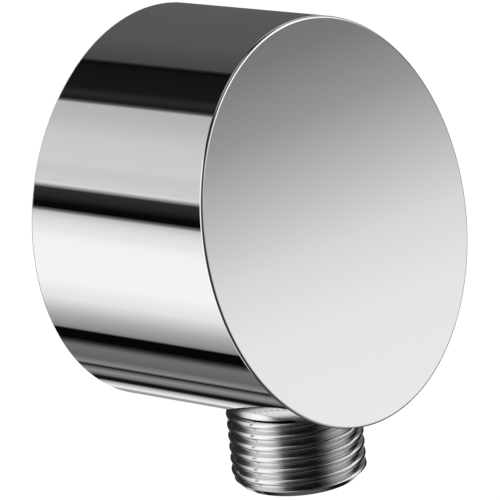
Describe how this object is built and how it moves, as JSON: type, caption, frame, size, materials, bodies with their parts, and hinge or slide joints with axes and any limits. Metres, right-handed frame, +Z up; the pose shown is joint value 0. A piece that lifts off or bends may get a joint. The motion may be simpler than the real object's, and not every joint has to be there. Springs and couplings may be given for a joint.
{
  "type": "wall outlet elbow",
  "caption": "Round drum-shaped wall outlet elbow for a shower hose, with a leaning flat face, a male hose thread pointing down and a spring-loaded non-return valve inside.",
  "frame": {"origin": "on the drum's axis in the plane of the finished wall, where the back rim rests", "axes": "+Z up, +Y into the wall, -Y towards the user, +X to the user's right when facing the wall; the hose thread points along -Z"},
  "size_m": [0.061, 0.0542, 0.0728],
  "materials": {
    "chrome_polished": "polished chrome plate, mirror-bright",
    "chrome_turned": "chrome plate over a turned thread, fine tool marks",
    "brass_plain": "plain turned brass",
    "steel_dark": "stainless set screw",
    "steel_spring": "drawn stainless wire",
    "rubber_black": "black sealing rubber",
    "valve_white": "moulded acetal",
    "valve_grey": "moulded acetal"
  },
  "bodies": {
    "body": {"housing": "chrome_polished", "rim_seal": "rubber_black", "wall_nipple": "brass_plain", "spigot_ring_rear": "rubber_black", "spigot_ring_front": "rubber_black", "grub_screw": "steel_dark", "hose_nipple": "chrome_turned", "shank_ring": "rubber_black", "valve_case": "valve_white", "case_ring": "rubber_black", "valve_guide": "valve_white", "valve_spring": "steel_spring"},
    "poppet": {"valve_poppet": "valve_grey", "poppet_seal": "rubber_black"}
  },
  "joints": [
    {"name": "poppet_slide", "type": "slide", "parent": "body", "child": "poppet", "axis": [0, 0, -1], "range_m": [0, 0.003], "stiffness_N_per_m": 150, "springref_m": -0.002, "deforming": ["valve_spring"]}
  ]
}
